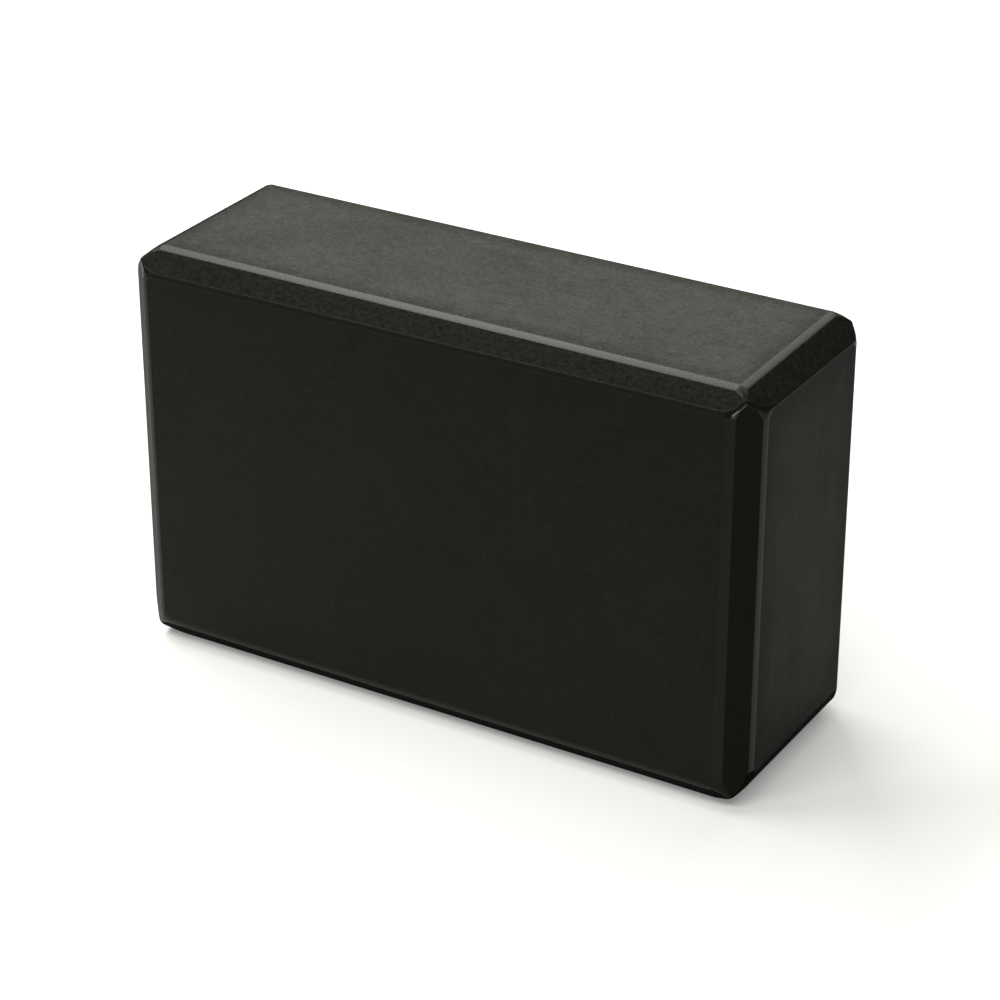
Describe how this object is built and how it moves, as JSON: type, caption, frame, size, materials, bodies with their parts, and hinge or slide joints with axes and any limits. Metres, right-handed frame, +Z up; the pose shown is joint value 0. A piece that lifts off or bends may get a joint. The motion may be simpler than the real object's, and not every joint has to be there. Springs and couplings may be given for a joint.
{
  "type": "yoga block",
  "caption": "Bevelled rectangular foam block, glued up from slabs, that props and supports the body on any of its faces in yoga and therapy.",
  "frame": {"origin": "middle of the long narrow face that the block stands on", "axes": "+X along the block's length, +Y through its thickness away from the front face, +Z up"},
  "size_m": [0.23, 0.08, 0.145],
  "materials": {
    "eva_foam": "black closed-cell EVA foam: smooth moulded skin on the large faces, sanded on the narrow sides and bevels",
    "contact_adhesive": "cured black contact adhesive, flush with the sanded sides"
  },
  "bodies": {
    "root": {"front_slab": "eva_foam", "glue_film": "contact_adhesive", "back_slab": "eva_foam"}
  },
  "joints": []
}
